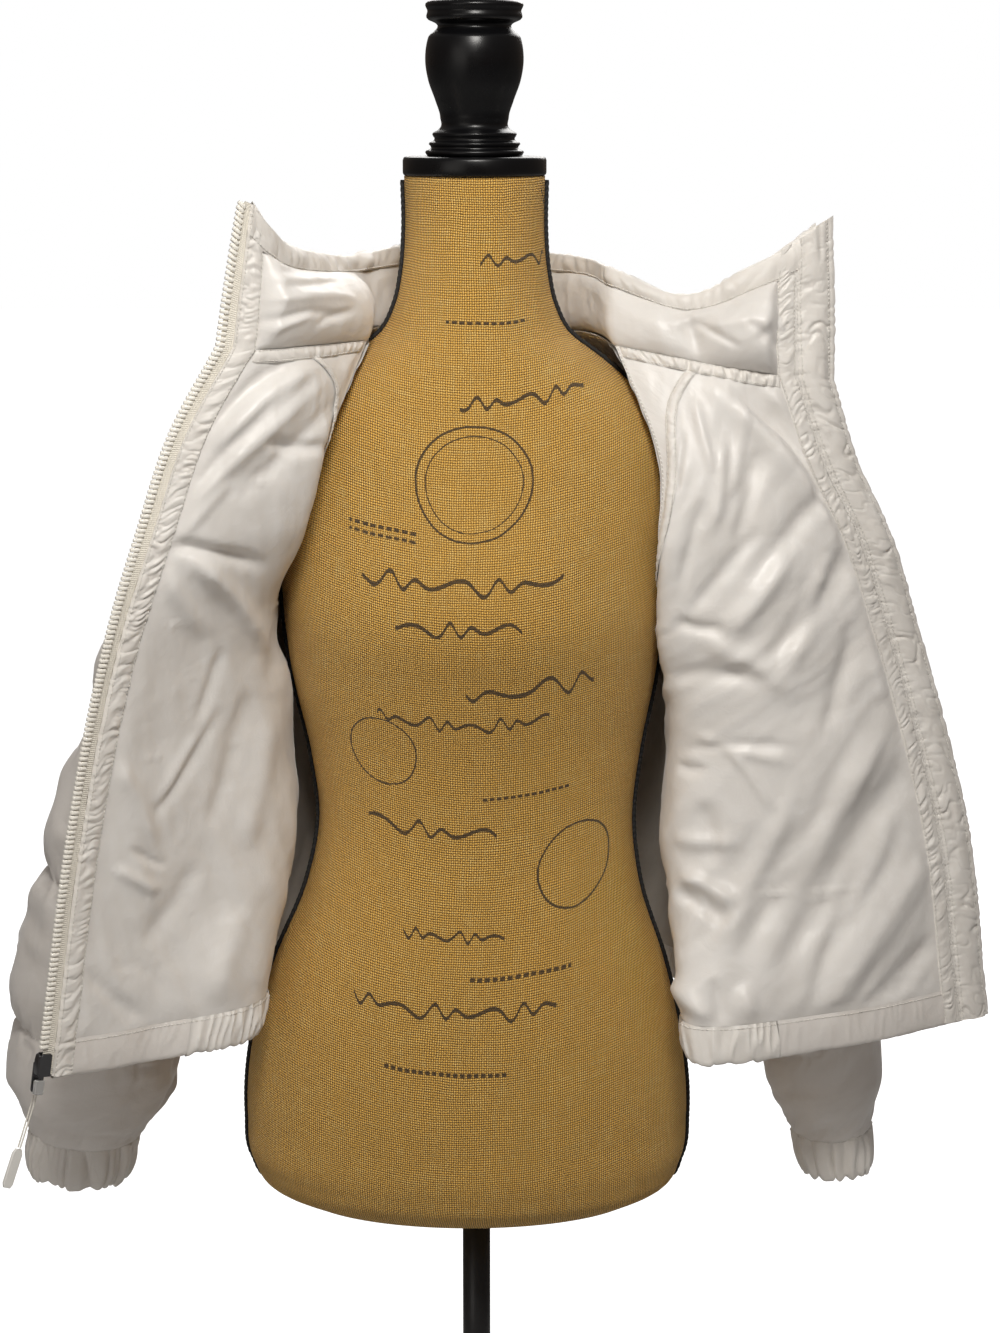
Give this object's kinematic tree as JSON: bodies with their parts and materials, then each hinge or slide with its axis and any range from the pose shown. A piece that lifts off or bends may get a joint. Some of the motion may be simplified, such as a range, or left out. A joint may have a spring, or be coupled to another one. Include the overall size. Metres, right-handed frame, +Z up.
{
  "type": "down jacket on a dress form",
  "caption": "Quilted down jacket worn wide open on a limbless dress form with a turned finial, on a pole and round base; the zip's pull tab swings.",
  "frame": {"origin": "centre of the base's underside, on the floor", "axes": "+Z up, the wearer faces -Y, so the wearer's right is at -X"},
  "size_m": [0.74, 0.3687, 1.2356],
  "materials": {
    "quilted_shell": "soft nylon with a faint sheen",
    "lining": "thin nylon with a faint sheen",
    "trim": "nylon and elastic",
    "zip_tape": "woven tape",
    "gunmetal": "dark plated",
    "retainer": "cloudy",
    "cord": "braided",
    "burlap": "coarse open weave",
    "piping": "matte",
    "turned_wood": "black satin lacquer",
    "black_metal": "black satin"
  },
  "bodies": {
    "jacket_and_form": {"back_shell": "quilted_shell", "front_shell_r": "quilted_shell", "front_shell_l": "quilted_shell", "sleeve_r": "quilted_shell", "sleeve_l": "quilted_shell", "collar_shell": "quilted_shell", "hem_band_r": "quilted_shell", "hem_band_l": "quilted_shell", "lining_r": "lining", "lining_l": "lining", "lining_back": "lining", "sleeve_lining_r": "lining", "sleeve_lining_l": "lining", "collar_lining": "lining", "facing_r": "trim", "facing_l": "trim", "placket": "trim", "collar_binding": "trim", "armhole_tape_r": "trim", "armhole_tape_l": "trim", "neck_tape_r": "trim", "neck_tape_l": "trim", "neck_tape_back": "trim", "hem_elastic": "trim", "cuff_r": "trim", "cuff_l": "trim", "zip_tape_r": "zip_tape", "zip_tape_l": "zip_tape", "slider": "gunmetal", "zip_box": "retainer", "form_torso": "burlap", "form_piping_r": "piping", "form_piping_l": "piping", "neck_disc": "turned_wood", "finial": "turned_wood", "pole": "black_metal", "base": "black_metal"},
    "pull": {"pull_tab": "gunmetal", "pull_cord": "cord", "cord_end": "cord"}
  },
  "joints": [
    {"name": "pull_tab_hinge", "type": "hinge", "parent": "jacket_and_form", "child": "pull", "pos_m": [-0.29749, -0.18806, 0.50504], "axis": [0.763, 0.6263, -0.1599], "range_deg": [0, 150]}
  ]
}
